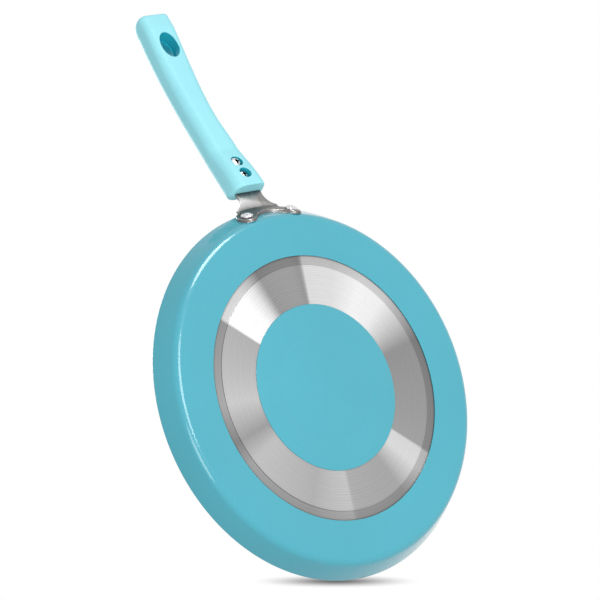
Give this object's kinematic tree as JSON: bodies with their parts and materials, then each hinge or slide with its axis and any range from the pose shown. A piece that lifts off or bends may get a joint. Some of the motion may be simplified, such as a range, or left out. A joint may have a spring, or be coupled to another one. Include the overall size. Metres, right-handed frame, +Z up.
{
  "type": "dosa tawa",
  "caption": "Shallow round griddle with a sloping rim and a bare turned ring underneath, riveted sheet bracket and long moulded handle with a hang hole.",
  "frame": {"origin": "centre of the underside of the base, on the plane that the griddle stands on", "axes": "+Z up, towards the cooking side; +X along the handle, away from the griddle; +Y completes a right-handed frame"},
  "size_m": [0.4525, 0.28, 0.0848],
  "materials": {
    "griddle": "glossy turquoise enamel outside, dark non-stick coating inside, bare turned ring under the base",
    "bracket": "satin steel sheet",
    "rivets": "bright, lightly hammered heads",
    "handle": "soft matte light-blue moulding",
    "screws": "bright plated steel",
    "washers": "plated spring steel",
    "inserts": "plain brass"
  },
  "bodies": {
    "root": {"pan_body": "griddle", "bracket": "bracket", "rivet_left": "rivets", "rivet_right": "rivets", "handle": "handle", "screw_inner": "screws", "screw_outer": "screws", "washer_inner": "washers", "washer_outer": "washers", "insert_inner": "inserts", "insert_outer": "inserts"}
  },
  "joints": []
}
